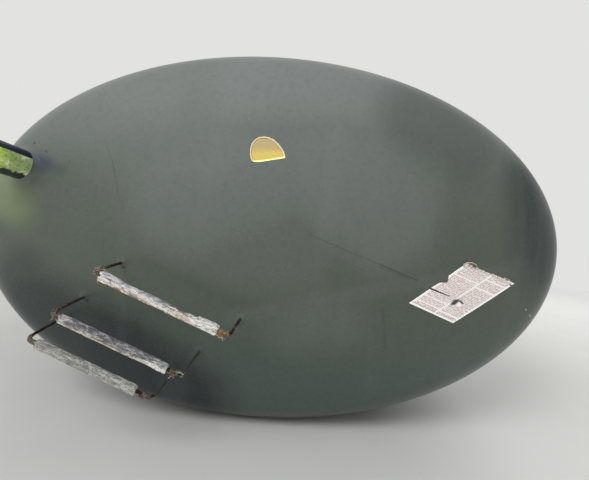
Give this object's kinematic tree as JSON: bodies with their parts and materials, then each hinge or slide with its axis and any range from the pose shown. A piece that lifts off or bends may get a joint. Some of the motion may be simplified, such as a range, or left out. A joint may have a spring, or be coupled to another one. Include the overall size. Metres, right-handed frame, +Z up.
{
  "type": "horizontal oval tank with dished ends",
  "caption": "Oval glass-fibre tank lying on the ground, with dished ends, a half-moon hole, rungs on one end, a manway, nozzles and lifting lugs.",
  "frame": {"origin": "on the ground below the middle of the barrel", "axes": "+Y along the barrel from the end with rungs to the end with the outlet, +X to the right seen from the end with rungs, +Z up"},
  "size_m": [2.412, 4.5364, 1.8548],
  "materials": {
    "green_laminate": "glossy dark olive gelcoat on glass-fibre laminate, weathered",
    "band_laminate": "hand-laid laminate with a coarser gloss",
    "rusty_rod": "rusty bare steel",
    "white_laminate": "weathered, peeling pale laminate",
    "lime_laminate": "uncoated translucent laminate",
    "zinc_steel": "dull zinc-coated",
    "black_rubber": "dull"
  },
  "bodies": {
    "root": {"shell_front": "green_laminate", "shell_middle": "green_laminate", "shell_rear": "green_laminate", "front_head": "green_laminate", "rear_head": "green_laminate", "manway_neck": "green_laminate", "manway_flange": "green_laminate", "manway_cover": "green_laminate", "fill_neck": "green_laminate", "fill_flange": "green_laminate", "fill_blind": "green_laminate", "vent_pipe": "green_laminate", "outlet_neck": "green_laminate", "outlet_flange": "green_laminate", "front_joint_band": "band_laminate", "strake_band_front": "band_laminate", "strake_band_rear": "band_laminate", "rear_joint_band": "band_laminate", "rung_pads": "band_laminate", "side_stub_collar": "band_laminate", "manway_collar": "band_laminate", "fill_collar": "band_laminate", "vent_collar": "band_laminate", "outlet_collar": "band_laminate", "lug_pads": "band_laminate", "rung_upper_rod": "rusty_rod", "rung_middle_rod": "rusty_rod", "rung_lower_rod": "rusty_rod", "rung_upper_tread": "white_laminate", "rung_middle_tread": "white_laminate", "rung_lower_tread": "white_laminate", "side_stub": "lime_laminate", "cover_handle": "zinc_steel", "vent_screen": "zinc_steel", "lug_front_left": "zinc_steel", "lug_front_right": "zinc_steel", "lug_rear_left": "zinc_steel", "lug_rear_right": "zinc_steel", "manway_gasket": "black_rubber", "fill_gasket": "black_rubber"}
  },
  "joints": []
}
